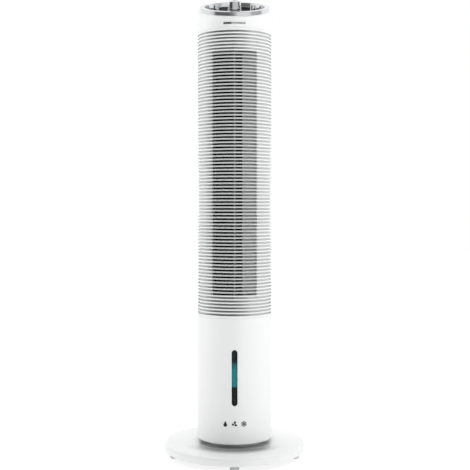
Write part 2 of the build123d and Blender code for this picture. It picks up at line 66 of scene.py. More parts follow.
def fromHex(code):
    channels = [int(code[i : i + 2], 16) / 255 for i in (1, 3, 5)]
    return [c / 12.92 if c <= 0.04045 else ((c + 0.055) / 1.055) ** 2.4 for c in channels] + [1.0]


def feed(node, inputs):
    # Nodes and sockets are linked, hex colours are turned to linear, and the rest is set as it is.
    for key, source in inputs.items():
        if isinstance(source, bpy.types.Node):
            source = next(out for out in source.outputs if out.enabled)
        if isinstance(source, bpy.types.NodeSocket):
            node.id_data.links.new(source, node.inputs[key])
        else:
            node.inputs[key].default_value = fromHex(source) if isinstance(source, str) else source


def addNode(tree, kind, inputs=None, **settings):
    node = tree.nodes.new("ShaderNode" + kind)
    for key, value in settings.items():
        setattr(node, key, value)
    feed(node, inputs or {})
    return node


def fillRamp(ramp, stops):
    # Puts (position, colour) pairs on a colour ramp.
    while len(ramp.elements) < len(stops):
        ramp.elements.new(0.5)
    for mark, (position, colour) in zip(ramp.elements, stops):
        mark.position = position
        mark.color = colour


def newMaterial(name, **sockets):
    # Returns the material, its tree and its shader; the sockets are set as constants.
    material = bpy.data.materials.new(name)
    material.use_nodes = True
    shader = material.node_tree.nodes["Principled BSDF"]
    feed(shader, {key.replace("_", " "): value for key, value in sockets.items()})
    return material, material.node_tree, shader


def grain(tree, shader, grainMm, strength, depthMm, detail=3.0):
    # Bump from noise whose grains are grainMm across; returns the place on the piece.
    place = addNode(tree, "TexCoord").outputs["Object"]
    noise = addNode(tree, "TexNoise", {"Vector": place, "Scale": 1 / (grainMm * mm), "Detail": detail})
    bump = addNode(tree, "Bump", {"Height": noise, "Strength": strength, "Distance": depthMm * mm})
    feed(shader, {"Normal": bump})
    return place


def blotch(tree, shader, place, sizeMm, low, high):
    # Base colour that drifts softly between two hex colours.
    noise = addNode(tree, "TexNoise", {"Vector": place, "Scale": 1 / (sizeMm * mm), "Detail": 2.0})
    tone = addNode(tree, "Mix", {"Factor": noise, "A": low, "B": high}, data_type="RGBA")
    feed(shader, {"Base Color": tone})


def vary(tree, shader, place, sizeMm, low, high):
    # Roughness that drifts between two values, as handling and mould polish leave it.
    noise = addNode(tree, "TexNoise", {"Vector": place, "Scale": 1 / (sizeMm * mm), "Detail": 4.0})
    spread = addNode(tree, "MapRange", {"Value": noise, "To Min": low, "To Max": high})
    feed(shader, {"Roughness": spread})


def splitAboutAxis(tree, place):
    # The place's x, y and z, its level part, and its distance from the tower's axis.
    split = addNode(tree, "SeparateXYZ", {"Vector": place}).outputs
    level = addNode(tree, "CombineXYZ", {"X": split["X"], "Y": split["Y"]})
    return split, level, addNode(tree, "VectorMath", {0: level}, operation="LENGTH")


def evenFinish(name, bump, tone, roughness, **sockets):
    # Sizes are in mm: bump is (grain, strength, depth), tone (patch, colours), roughness (patch, range).
    material, tree, shader = newMaterial(name, **sockets)
    place = grain(tree, shader, *bump)
    blotch(tree, shader, place, *tone)
    vary(tree, shader, place, *roughness)
    return material


def whiteAbs():
    # White ABS from a satin-polished mould: a soft sheen over a fine orange peel, clean, slightly cool.
    bump, tone, roughness = (1.6, 0.05, 0.02), (60, "#f1f2f2", "#f4f5f4"), (25, 0.26, 0.34)
    return evenFinish("white_abs_satin", bump, tone, roughness, IOR=1.53)


# Painted shade on the ribs, in mm: radii of the grooves' floors and the bars' faces, how far ahead the painted
# shade darkens the floors, and the outlet's edge, sideways from the middle and in from the grille's ends, with
# half the width of its blur.
ribPaintedShade = {"floorToFace": (82.3, 85.6), "ahead": (62, 82), "side": (51.5, 48), "end": 52, "endBlur": 2}


def whiteGrilleAbsPaintedShade():
    # The same white ABS on thin ribs, with painted shade: grey painted in the grooves' floors, darkest in front,
    # and a duller grey painted on the bars where they hang free over the dark outlet.
    material, tree, shader = newMaterial("white_abs_ribs_painted_shade", IOR=1.53)
    place = grain(tree, shader, 0.8, 0.05, 0.02)
    split, level, reach = splitAboutAxis(tree, place)

    def rise(value, start, end):
        return addNode(tree, "MapRange", {"Value": value, "From Min": start, "From Max": end})

    depth = rise(reach, *(r * mm for r in ribPaintedShade["floorToFace"]))
    ahead = addNode(tree, "VectorMath", {0: level, 1: (-0.24, -0.97, 0.0)}, operation="DOT_PRODUCT")
    shadeAhead = rise(ahead, *(y * mm for y in ribPaintedShade["ahead"]))
    # Painted shade: the grooves' floors go from light grey at the sides to dark grey in front.
    paintedFloorShade = addNode(tree, "Mix", {"Factor": shadeAhead, "A": "#d5d6d6", "B": "#767777"},
                        data_type="RGBA")
    sideways = addNode(tree, "Math", {0: split["X"]}, operation="ABSOLUTE")
    overOutlet = rise(sideways, *(x * mm for x in ribPaintedShade["side"]))
    midZ = (grilleLow.z + grilleHigh.z) / 2
    fromMiddle = addNode(tree, "Math", {0: split["Z"], 1: midZ}, operation="SUBTRACT")
    upDown = addNode(tree, "Math", {0: fromMiddle}, operation="ABSOLUTE")
    high, blur = (grilleHigh.z - grilleLow.z) / 2 - ribPaintedShade["end"] * mm, ribPaintedShade["endBlur"] * mm
    inRows = rise(upDown, high + blur, high - blur)
    inFront = addNode(tree, "Math", {0: split["Y"], 1: 0.0}, operation="LESS_THAN")
    # Painted shade: this mask dulls the bars over the open outlet, in front only.
    free = addNode(tree, "Math", {0: overOutlet, 1: inRows}, operation="MULTIPLY")
    free = addNode(tree, "Math", {0: free, 1: inFront}, operation="MULTIPLY")
    paintedFaceShade = addNode(tree, "Mix", {"Factor": free, "A": "#eeefef", "B": "#c9caca"}, data_type="RGBA")
    tone = addNode(tree, "Mix", {"Factor": depth, "A": paintedFloorShade, "B": paintedFaceShade}, data_type="RGBA")
    feed(shader, {"Base Color": tone})
    vary(tree, shader, place, 25, 0.34, 0.42)
    return material


# Painted shadow on the base, in mm: from the tower's foot out to unshaded plastic, and from beside the tower to
# the front.
paintedShadow = {"reach": (84, 128), "front": (-35, -95), "unshaded": "#f3f4f4", "tones": [
    (0.0, "#bcbdbd"), (0.2, "#a2a3a3"), (0.38, "#a8a9a9"), (0.66, "#d8d9d9"), (1.0, "#f3f4f4")]}


def baseAbs():
    # Glossier white ABS of the base, with a painted grey shadow round the tower's foot, in front of it only.
    material, tree, shader = newMaterial("white_abs_base_painted_shadow", IOR=1.53)
    place = grain(tree, shader, 1.6, 0.04, 0.02)
    split, _, reach = splitAboutAxis(tree, place)
    start, end = (r * mm for r in paintedShadow["reach"])
    outwards = addNode(tree, "MapRange", {"Value": reach, "From Min": start, "From Max": end})
    tone = addNode(tree, "ValToRGB", {"Fac": outwards})
    tone.color_ramp.interpolation = "EASE"
    fillRamp(tone.color_ramp, [(at, fromHex(code)) for at, code in paintedShadow["tones"]])
    side, front = (y * mm for y in paintedShadow["front"])
    inFront = addNode(tree, "MapRange", {"Value": split["Y"], "From Min": side, "From Max": front},
                      interpolation_type="SMOOTHSTEP")
    # Painted shadow: grey mixed into the base colour in front of the tower's foot.
    shadowedTone = addNode(tree, "Mix", {"Factor": inFront, "A": paintedShadow["unshaded"], "B": tone}, data_type="RGBA")
    feed(shader, {"Base Color": shadowedTone})
    vary(tree, shader, place, 30, 0.16, 0.22)
    return material


def chromePlate():
    # Bright chrome over ABS: mirror-like, with the faintest waviness of the plastic under it.
    bump, tone, roughness = (14, 0.02, 0.05, 1.0), (30, "#dfe1e3", "#e6e8e9"), (8, 0.035, 0.075)
    return evenFinish("chrome_plated_abs", bump, tone, roughness, Metallic=1.0)


def blackAcrylic():
    # Black acrylic sheet with an anti-glare face: deep black even where it is seen along its face.
    bump, tone, roughness = (20, 0.015, 0.03, 1.0), (40, "#0c0c0d", "#131315"), (12, 0.28, 0.36)
    return evenFinish("black_acrylic_satin", bump, tone, roughness, IOR=1.4, Specular_IOR_Level=0.006)


def smokedAcrylic():
    # Smoked clear acrylic: glossy and dark, what is close behind it shows through.
    bump, tone, roughness = (18, 0.01, 0.02, 1.0), (20, "#081211", "#0c1716"), (10, 0.04, 0.08)
    return evenFinish("smoked_acrylic", bump, tone, roughness, IOR=1.4, Alpha=0.42)


# Painted glow of the float: emission strengths, full and faint, and the heights in mm over which it fades.
paintedFloatGlow = {"glow": (1.5, 0.5), "heights": (204, 221)}  # of the float, in mm


def tealPolypropylene():
    # Teal translucent polypropylene with a painted glow: it emits a little light of its own, less towards its
    # crown.
    bump, tone, roughness = (1.2, 0.05, 0.02), (15, "#3bb6bd", "#44c3c9"), (6, 0.3, 0.42)
    material = evenFinish("teal_polypropylene_painted_glow", bump, tone, roughness, IOR=1.49, Emission_Color="#2fa6ae")
    tree = material.node_tree
    split, _, _ = splitAboutAxis(tree, addNode(tree, "TexCoord").outputs["Object"])
    low, high = (z * mm for z in paintedFloatGlow["heights"])
    full, faint = paintedFloatGlow["glow"]
    # Painted glow: emission strength fades from full to faint up the float.
    glow = addNode(tree, "MapRange", {"Value": split["Z"], "From Min": low, "From Max": high,
                                      "To Min": full, "To Max": faint})
    feed(tree.nodes["Principled BSDF"], {"Emission Strength": glow})
    return material


def tankPlastic():
    # Natural polypropylene of the tank: milky and see-through.
    bump, tone, roughness = (2.5, 0.06, 0.03), (50, "#cfdcdf", "#dbe6e8"), (14, 0.22, 0.34)
    return evenFinish("natural_polypropylene", bump, tone, roughness, IOR=1.49, Alpha=0.14)


def footRubber():
    # Moulded grey rubber: dull, with a dry bloom.
    bump, tone, roughness = (0.5, 0.25, 0.05), (9, "#c3c5c6", "#cfd0d1"), (5, 0.72, 0.86)
    return evenFinish("grey_rubber_moulded", bump, tone, roughness, IOR=1.52)


def darkPolypropylene():
    # Dark glass-filled polypropylene with a spark-eroded grain.
    bump, tone, roughness = (0.7, 0.22, 0.02), (60, "#1b1c1e", "#242527"), (25, 0.5, 0.62)
    return evenFinish("dark_polypropylene_grained", bump, tone, roughness, IOR=1.49)


def blackWheelPlastic():
    # Black glass-filled plastic of the blower wheel: the fibres leave it slightly rough.
    bump, tone, roughness = (0.9, 0.12, 0.02), (60, "#101113", "#17181a"), (25, 0.42, 0.55)
    return evenFinish("black_filled_plastic", bump, tone, roughness, IOR=1.53)


def greyAbs():
    # Unpainted light grey ABS of the inner frame: plain and half matt.
    bump, tone, roughness = (1.1, 0.1, 0.02), (60, "#a9abad", "#b3b5b6"), (25, 0.42, 0.5)
    return evenFinish("grey_abs_inner", bump, tone, roughness, IOR=1.53)


def paleAbs():
    # Pale ABS of the air duct, the tank's lid and the neck: a soft half-matt white.
    bump, tone, roughness = (1.1, 0.08, 0.02), (60, "#dcdedf", "#e4e6e6"), (25, 0.38, 0.46)
    return evenFinish("pale_abs_duct", bump, tone, roughness, IOR=1.53)


def acetal():
    # Machined-looking white acetal: waxy, slightly yellow.
    bump, tone, roughness = (0.6, 0.06, 0.02), (60, "#e6e2d4", "#eeeadd"), (25, 0.28, 0.38)
    return evenFinish("acetal_gear", bump, tone, roughness, IOR=1.48)


def zincSteel():
    # Zinc-plated steel: bright grey with fine rolling lines, 4 mm long.
    material, tree, shader = newMaterial("zinc_plated_steel", Metallic=1.0)
    place = addNode(tree, "TexCoord").outputs["Object"]
    stretch = addNode(tree, "Mapping", {"Vector": place, "Scale": (1.0, 1.0, 14.0)})
    lines = addNode(tree, "TexNoise", {"Vector": stretch, "Scale": 1 / (4 * mm), "Detail": 4.0})
    feed(shader, {"Normal": addNode(tree, "Bump", {"Height": lines, "Strength": 0.1, "Distance": 0.02 * mm})})
    blotch(tree, shader, place, 12, "#9fa3a6", "#b4b8ba")
    vary(tree, shader, place, 7, 0.28, 0.42)
    return material


def galvanisedSteel():
    # Galvanised steel can: crystal spangle, 5 mm across.
    material, tree, shader = newMaterial("galvanised_steel", Metallic=1.0)
    place = addNode(tree, "TexCoord").outputs["Object"]
    cells = addNode(tree, "TexVoronoi", {"Vector": place, "Scale": 1 / (5 * mm)}).outputs["Color"]
    tone = addNode(tree, "Mix", {"Factor": cells, "A": "#7c8083", "B": "#a3a7aa"}, data_type="RGBA")
    feed(shader, {"Base Color": tone})
    vary(tree, shader, place, 5, 0.32, 0.5)
    return material


def solderMask():
    # Green solder mask over copper: the tracks stand up a hair.
    material, tree, shader = newMaterial("solder_mask_green", IOR=1.5)
    place = addNode(tree, "TexCoord").outputs["Object"]
    layout = {"Scale": 1 / (6 * mm), "Mortar Size": 0.06, "Brick Width": 0.9, "Row Height": 0.35}
    tracks = addNode(tree, "TexBrick", {"Vector": place, **layout}).outputs["Fac"]
    tone = addNode(tree, "Mix", {"Factor": tracks, "A": "#0f5a31", "B": "#2b7a48"}, data_type="RGBA")
    bump = addNode(tree, "Bump", {"Height": tracks, "Strength": 0.3, "Distance": 0.05 * mm})
    feed(shader, {"Base Color": tone, "Normal": bump})
    vary(tree, shader, place, 6, 0.22, 0.34)
    return material


def kraftCellulose():
    # Kraft cellulose paper set with resin: fibrous, dry, uneven brown.
    bump, tone, roughness = (0.5, 0.5, 0.1, 6.0), (7, "#8d6b45", "#b08d62"), (3, 0.78, 0.95)
    return evenFinish("kraft_cellulose", bump, tone, roughness, IOR=1.4)


def nylonMesh():
    # Black nylon dust mesh; threads are drawn about 6 mm apart, coarser than real, so that they show.
    material, tree, shader = newMaterial("nylon_mesh_black", IOR=1.53)
    place = addNode(tree, "TexCoord").outputs["Object"]
    threads = {"Vector": place, "Scale": 1 / (20 * mm), "Distortion": 0.0}  # one wave is 2 pi mm long
    waves = [addNode(tree, "TexWave", threads, bands_direction=axis).outputs["Fac"] for axis in ("X", "Z")]
    weave = addNode(tree, "Math", dict(enumerate(waves)), operation="MAXIMUM")
    tone = addNode(tree, "Mix", {"Factor": weave, "A": "#08090a", "B": "#34363a"}, data_type="RGBA")
    bump = addNode(tree, "Bump", {"Height": weave, "Strength": 0.6, "Distance": 0.1 * mm})
    feed(shader, {"Base Color": tone, "Normal": bump})
    vary(tree, shader, place, 4, 0.45, 0.6)
    return material


def printInk(name, low, high):
    # Pad-printed ink: thin, even and matt.
    return evenFinish(name, (0.4, 0.1, 0.01), (3, low, high), (3, 0.4, 0.5), IOR=1.5)


finishOf = {
    "white_shell": whiteAbs(),
    "white_grille": whiteGrilleAbsPaintedShade(),
    "chrome_plate": chromePlate(),
    "black_panel": blackAcrylic(),
    "smoked_window": smokedAcrylic(),
    "teal_float": tealPolypropylene(),
    "clear_tank": tankPlastic(),
    "foot_rubber": footRubber(),
    "dark_frame": darkPolypropylene(),
    "inner_plastic": greyAbs(),
    "white_plastic": paleAbs(),
    "gear_plastic": acetal(),
    "steel_part": zincSteel(),
    "motor_can": galvanisedSteel(),
    "board_green": solderMask(),
    "pad_paper": kraftCellulose(),
    "mesh_black": nylonMesh(),
}
darkInk = printInk("black_ink", "#141415", "#1b1b1c")
paleInk = printInk("silver_grey_ink", "#85888a", "#929597")
for node, part in frame["nodes"].items():
    part.data.materials.clear()
    part.data.materials.append(finishOf[slotOf[node]])
frame["nodes"]["blower_wheel"].data.materials[0] = blackWheelPlastic()
baseFinish = baseAbs()
print("finishes:", len(bpy.data.materials))


def rounded(corners, arcSteps=4):
    # A closed outline from (x, y, radius) corners, each rounded by an arc.
    outline = []
    count = len(corners)
    for i, (x, y, radius) in enumerate(corners):
        corner = Vector((x, y))
        if radius <= 0:
            outline.append(corner)
            continue
        back = (Vector(corners[i - 1][:2]) - corner).normalized()
        ahead = (Vector(corners[(i + 1) % count][:2]) - corner).normalized()
        half = back.angle(ahead) / 2
        centre = corner + (back + ahead).normalized() * (radius / math.sin(half))
        start = corner + back * (radius / math.tan(half)) - centre
        sweep = start.angle_signed(corner + ahead * (radius / math.tan(half)) - centre)
        for k in range(arcSteps + 1):
            outline.append(centre + Matrix.Rotation(-sweep * k / arcSteps, 2) @ start)
    return outline


def joined(meshes):
    # Several (points, faces) as one.
    points, faces = [], []
    for more, sides in meshes:
        faces += [tuple(k + len(points) for k in face) for face in sides]
        points += more
    return points, faces


def addPiece(name, mesh):
    mesh.shade_smooth()
    piece = bpy.data.objects.new(name, mesh)
    bpy.context.scene.collection.objects.link(piece)
    return piece


def addMesh(name, points, faces):
    mesh = bpy.data.meshes.new(name)
    mesh.from_pydata([tuple(p) for p in points], [], faces)
    bm = bmesh.new()
    bm.from_mesh(mesh)
    # Points that meet on a turning axis become one, and the faces that this flattens go.
    bmesh.ops.remove_doubles(bm, verts=bm.verts, dist=1e-7)
    bmesh.ops.dissolve_degenerate(bm, edges=bm.edges, dist=1e-7)
    bmesh.ops.delete(bm, geom=[e for e in bm.edges if not e.link_faces], context="EDGES")
    bmesh.ops.delete(bm, geom=[v for v in bm.verts if not v.link_faces], context="VERTS")
    bmesh.ops.recalc_face_normals(bm, faces=bm.faces)
    bm.to_mesh(mesh)
    bm.free()
    return addPiece(name, mesh)


def around(outline, angles, place, full):
    # Sweeps a closed outline through the angles; place(x, y, angle) gives each point, and a full sweep
    # closes on itself.
    points = [place(p.x, p.y, angle) for angle in angles for p in outline]
    size = len(outline)
    faces = []
    for i in range(len(angles) - (0 if full else 1)):
        j = (i + 1) % len(angles)
        for k in range(size):
            m = (k + 1) % size
            faces.append((i * size + k, i * size + m, j * size + m, j * size + k))
    if not full:
        faces.append(tuple(range(size)))
        faces.append(tuple(len(points) - size + k for k in range(size)))
    return points, faces


def steps(start, end, size):
    # Even steps from start to end, each at most size.
    count = max(1, math.ceil(abs(end - start) / size - 1e-6))
    return [start + (end - start) * i / count for i in range(count + 1)]


def upright(r, z, angle):
    return Vector((r * math.sin(angle), -r * math.cos(angle), z))


def turned(name, outline, stepDeg=2.0, startDeg=0.0, endDeg=360.0, place=upright):
    # A turned piece; angles count from the front towards +X.
    full = abs(endDeg - startDeg - 360) < 1e-6
    angles = [math.radians(a) for a in steps(startDeg, endDeg, stepDeg)]
    return addMesh(name, *around(outline, angles[:-1] if full else angles, place, full))


def soften(piece, widthMm, angleDeg=35):
    # Rounds the sharp edges and keeps the flats flat.
    bevel = piece.modifiers.new("edge_round", "BEVEL")
    bevel.width = widthMm * mm
    bevel.segments = 2
    bevel.limit_method = "ANGLE"
    bevel.angle_limit = math.radians(angleDeg)
    return even(piece)


def even(piece):
    # Shades each face by its size, so that flats stay flat beside round edges.
    weigh = piece.modifiers.new("even_normals", "WEIGHTED_NORMAL")
    weigh.keep_sharp = True
    return piece


def carve(piece, *cutters):
    # Cuts the cutters out of the piece, then removes them.
    for cutter in cutters:
        cut = piece.modifiers.new("carve", "BOOLEAN")
        cut.operation = "DIFFERENCE"
        cut.solver = "EXACT"
        cut.object = cutter
    bpy.context.view_layer.update()
    ready = piece.evaluated_get(bpy.context.evaluated_depsgraph_get())
    mesh = bpy.data.meshes.new_from_object(ready)
    piece.modifiers.clear()
    piece.data = mesh
    mesh.shade_smooth()
    for cutter in cutters:
        bpy.data.objects.remove(cutter)
    return piece


def prism(name, outline, low, high, place):
    # A closed outline pushed from low to high; place(x, y, depth) gives each point.
    size = len(outline)
    points = [place(p.x, p.y, depth) for depth in (low, high) for p in outline]
    faces = [(k, (k + 1) % size, (k + 1) % size + size, k + size) for k in range(size)]
    faces += [tuple(range(size)), tuple(range(size, 2 * size))]
    return addMesh(name, points, faces)


def facing(sign):
    # Places an outline drawn as (x, z) on a plane across Y; depth counts outwards.
    return lambda x, z, depth: Vector((x, sign * depth, z))


def stadium(width, height, at, arcSteps=16):
    # An upright slot with round ends, about the point at.
    r = min(width, height) / 2
    spread = Vector((width / 2 - r, height / 2 - r))
    outline = []
    for k in range(4):
        centre = Vector((spread.x if k in (0, 3) else -spread.x, spread.y if k < 2 else -spread.y))
        for i in range(arcSteps // 2 + 1):
            a = math.pi / 2 * (k + i / (arcSteps // 2))
            point = Vector(at) + centre + r * Vector((math.cos(a), math.sin(a)))
            if not outline or (point - outline[-1]).length > 1e-6:
                outline.append(point)
    if (outline[0] - outline[-1]).length < 1e-6:
        outline.pop()
    return outline


def put(piece, node, material=None):
    # The piece stands for a CAD node: same body, same slot, its finish.
    piece.data.materials.clear()
    piece.data.materials.append(material or finishOf[slotOf[node]])
    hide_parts(node)
    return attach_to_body(piece, bodyOf[node])


def attach(piece, body, slotName, material):
    # An extra piece, such as a print, on a body.
    piece.data.materials.clear()
    piece.data.materials.append(material)
    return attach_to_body(piece, body)


# Camera and the pale studio
camera = {"distance": 2.190, "height": 0.5784, "lens": 72.3, "shiftX": 0.0009, "shiftY": -0.067}
view = bpy.data.cameras.new("camera")
view.lens = camera["lens"]
view.sensor_width = 36.0
view.shift_x = camera["shiftX"]
view.shift_y = camera["shiftY"]
view.clip_end = 100.0
cameraObject = bpy.data.objects.new("camera", view)
cameraObject.location = (0, -camera["distance"], camera["height"])
cameraObject.rotation_euler = (math.radians(90), 0, 0)
bpy.context.scene.collection.objects.link(cameraObject)
bpy.context.scene.camera = cameraObject
bpy.context.scene.view_settings.view_transform = "Standard"

studio = {
    "skySide": 0.41,
    "floorColour": "#8a8a8a",
    "floorGlow": 0.86,
    "floorHalf": 9,
    "whitensFrom": (0.25, 0.6),  # m from the axis
    # name: (watts, width and height in m, azimuth in degrees, distance, height, height aimed at)
    "lamps": {
        "key_right": (19.5, (1.2, 2.2), 72, 2.6, 1.2, 0.6),
        "key_front_right": (7.0, (0.8, 2.2), 38, 2.6, 1.3, 0.5),
        "rim_right": (6.7, (0.8, 2.2), 108, 2.6, 1.3, 0.5),
        "fill_left": (23.0, (1.2, 2.2), -102, 2.6, 1.1, 0.6),
        "fill_front_left": (5.0, (0.8, 2.2), -45, 2.6, 1.3, 0.5),
        "front_high": (14.0, (1.6, 0.8), 0, 2.0, 2.4, 0.2),
        "top": (64.0, (2.0, 2.0), 180, 0.6, 3.0, 0.0),
    },
}


def softbox(name, watts, size, azimuthDeg, distance, height, aimHeight):
    lamp = bpy.data.lights.new(name, "AREA")
    lamp.shape = "RECTANGLE"
    lamp.size, lamp.size_y = size
    lamp.energy = watts
    box = bpy.data.objects.new(name, lamp)
    a = math.radians(azimuthDeg)
    box.location = (distance * math.sin(a), -distance * math.cos(a), height)
    box.rotation_euler = (Vector((0, 0, aimHeight)) - box.location).to_track_quat("-Z", "Y").to_euler()
    # The top light is left out of reflections, so that faces that look up mirror the overhead card.
    box.visible_glossy = name != "top"
    bpy.context.scene.collection.objects.link(box)


def flatSheet(name, half):
    corners = [(-half, -half, 0), (half, -half, 0), (half, half, 0), (-half, half, 0)]
    return addMesh(name, corners, [(0, 1, 2, 3)])


def buildStudio():
    world = bpy.data.worlds.new("white_studio")
    bpy.context.scene.world = world
    world.use_nodes = True
    tree = world.node_tree
    tree.nodes.clear()
    # The lighting sky is dark in front and overhead and bright at the sides.
    towards = addNode(tree, "TexCoord").outputs["Generated"]
    split = addNode(tree, "SeparateXYZ", {"Vector": towards})
    aside = addNode(tree, "Math", {0: split.outputs["X"], 1: 2.0}, operation="POWER")
    glow = addNode(tree, "MapRange", {"Value": aside, "To Max": studio["skySide"]})
    white = addNode(tree, "Background", {"Color": "#ffffff", "Strength": 1.0})
    dim = addNode(tree, "Background", {"Color": "#ffffff", "Strength": glow})
    seen = addNode(tree, "LightPath").outputs
    direct = addNode(tree, "Math", {0: seen["Is Camera Ray"], 1: seen["Is Glossy Ray"]}, operation="MAXIMUM")
    sky = addNode(tree, "MixShader", {"Fac": direct, 1: dim, 2: white})
    addNode(tree, "OutputWorld", {"Surface": sky})

    for name, (watts, size, azimuth, distance, height, aim) in studio["lamps"].items():
        softbox(name, watts, size, azimuth, distance, height, aim)

    floor = flatSheet("floor", studio["floorHalf"])
    material, tree, shader = newMaterial("pale_matt_floor", Roughness=0.9)
    # Far from the base the floor is as white as the sky, near it the shadow shows.
    near, far = studio["whitensFrom"]
    reach = addNode(tree, "VectorMath", {0: addNode(tree, "TexCoord").outputs["Object"]}, operation="LENGTH")
    whiten = addNode(tree, "MapRange", {"Value": reach, "From Min": near, "From Max": far,
                                        "To Min": studio["floorGlow"], "To Max": 1.0})
    feed(shader, {"Base Color": studio["floorColour"], "Emission Color": "#ffffff"})
    feed(shader, {"Emission Strength": whiten})
    floor.data.materials.append(material)
    floor.visible_glossy = False


# Cards that only reflections see, as (azimuth in degrees from the front towards +X, brightness).
# The bezel's upright wall mirrors the upper band, the leaning knobs the middle one, the window the lower one.
cards = {
    "radius": 1.5,
    "upper": {"heights": (1.16, 3.2), "shades": [
        (-180, 1.0), (-90, 0.95), (-72, 0.75), (-62, 0.16), (-20, 0.14), (-4, 0.30), (12, 0.85), (48, 0.85),
        (58, 0.52), (92, 0.48), (102, 1.0), (180, 1.0)]},
    "middle": {"heights": (0.25, 1.16), "shades": [
        (-180, 1.0), (-112, 0.95), (-100, 0.08), (-44, 0.08), (-32, 0.55), (-8, 0.62), (40, 0.66), (66, 0.55),
        (74, 0.08), (94, 0.08), (102, 0.95), (180, 1.0)]},
    "lower": {"heights": (-1.2, 0.25), "shades": [
        (-180, 0.95), (-17, 0.85), (-12, 0.03), (-3, 0.03), (-1.5, 0.8), (1, 0.8), (2.5, 0.03), (12, 0.03),
        (17, 0.85), (180, 0.95)]},
    # From the axis outwards, as shares of the radius; it keeps faces that look up from being lost in white.
    "overhead": {"height": 2.9, "shades": [(0.0, 0.28), (0.3, 0.4), (0.75, 0.95), (1.0, 1.0)]},
}


def stageCard(card, name, lookup, shades):
    # Glowing paper on a card, seen by reflections alone; lookup turns a place into a share of the shades.
    material = bpy.data.materials.new("card_paper_" + name)
    material.use_nodes = True
    tree = material.node_tree
    tree.nodes.clear()
    ramp = addNode(tree, "ValToRGB", {"Fac": lookup(tree, addNode(tree, "TexCoord").outputs["Object"])})
    fillRamp(ramp.color_ramp, [(position, (shade, shade, shade, 1.0)) for position, shade in shades])
    addNode(tree, "OutputMaterial", {"Surface": addNode(tree, "Emission", {"Color": ramp})})
    card.data.materials.append(material)
    for ray in ("camera", "diffuse", "transmission", "volume_scatter", "shadow"):
        setattr(card, "visible_" + ray, False)


def azimuthShare(tree, place):
    split = addNode(tree, "SeparateXYZ", {"Vector": place}).outputs
    ahead = addNode(tree, "Math", {0: split["Y"], 1: -1.0}, operation="MULTIPLY")
    azimuth = addNode(tree, "Math", {0: split["X"], 1: ahead}, operation="ARCTAN2")
    return addNode(tree, "MapRange", {"Value": azimuth, "From Min": -math.pi, "From Max": math.pi})


def reachShare(tree, place):
    reach = addNode(tree, "VectorMath", {0: place}, operation="LENGTH")
    return addNode(tree, "MapRange", {"Value": reach, "From Max": cards["radius"]})


def buildCard(key):
    radius = cards["radius"]
    low, high = cards[key]["heights"]
    angles = [math.radians(a) for a in steps(-180, 180, 4)]
    points = [upright(radius, z, a) for a in angles[:-1] for z in (low, high)]
    count = len(points)
    faces = [(i, (i + 2) % count, (i + 3) % count, i + 1) for i in range(0, count, 2)]
    card = addMesh("reflection_cards_" + key, points, faces)
    shades = [((azimuth + 180) / 360, shade) for azimuth, shade in cards[key]["shades"]]
    stageCard(card, key, azimuthShare, shades)


def buildOverheadCard():
    card = flatSheet("reflection_card_overhead", cards["radius"])
    card.location.z = cards["overhead"]["height"]
    stageCard(card, "overhead", reachShare, cards["overhead"]["shades"])


buildStudio()
for key in ("upper", "middle", "lower"):
    buildCard(key)
buildOverheadCard()
print("studio ready")

# Base and feet
base = {"topRound": 6.0, "lowRound": 1.5, "sideRound": 3.0, "draft": 1.0, "draftHigh": 9.0, "wall": 3.0,
        "hole": 0.4}  # the hole is a share of the neck's radius


def buildBase():
    low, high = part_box("base_cover")
    r = high.y
    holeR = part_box("swing_neck")[1].x * base["hole"]
    wall, draft, sideRound = (base[k] * mm for k in ("wall", "draft", "sideRound"))
    outline = rounded(
        [
            (r - wall - draft, low.z, 0.3 * mm),
            (r - draft, low.z, base["lowRound"] * mm),
            (r, low.z + base["draftHigh"] * mm, sideRound),
            (r, high.z, base["topRound"] * mm),
            (holeR, high.z, 0),
            (holeR, high.z - wall, 0),
            (r - wall - draft, high.z - wall, sideRound),
        ],
        6,
    )
    put(even(turned("base_cover_moulding", outline, 1.5)), "base_cover", baseFinish)


foot = {"count": 5, "ringR": 143.0, "radius": 10.5, "stemR": 3.9, "edge": 1.8, "draft": 0.7,
        "groove": (3.0, 4.0), "grooveDepth": 0.8}  # the groove's edges count inwards from the foot's


def buildFeet():
    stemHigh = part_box("rubber_feet")[1].z
    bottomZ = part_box("base_cover")[0].z
    r, stemR, deep = (foot[k] * mm for k in ("radius", "stemR", "grooveDepth"))
    outerR, innerR = (r - inwards * mm for inwards in foot["groove"])
    outline = rounded(
        [
            (0, 0, 0), (innerR, 0, 0), (innerR, deep, 0), (outerR, deep, 0), (outerR, 0, 0.3 * mm),
            (r, 0, foot["edge"] * mm), (r - foot["draft"] * mm, bottomZ, 0.3 * mm),
            (stemR, bottomZ, 0), (stemR, stemHigh, 0), (0, stemHigh, 0),
        ]
    )
    angles = [math.radians(a) for a in range(0, 360, 8)]
    feet = []
    for i in range(foot["count"]):
        centre = upright(foot["ringR"] * mm, 0, math.radians(360 * i / foot["count"]))
        feet.append(around(outline, angles, lambda r, z, a: centre + upright(r, z, a), True))
    put(even(addMesh("moulded_feet", *joined(feet))), "rubber_feet")


buildBase()
buildFeet()
print("base ready")

# Lower shell, its window and the back door
shell = {"wall": 2.5, "lowEdge": 1.6, "topEdge": 0.4, "edge": 0.35,
         "doorGap": 0.4, "doorRound": 3.0, "cordHole": 12.0}


def towerWall(name, lowZ, highZ, lowEdge, highEdge, startDeg=0.0, endDeg=360.0):
    inner = towerR - shell["wall"] * mm
    outline = rounded(
        [(inner, lowZ, 0), (towerR, lowZ, lowEdge * mm), (towerR, highZ, highEdge * mm), (inner, highZ, 0)], 5
    )
    return turned(name, outline, 1.5, startDeg, endDeg)


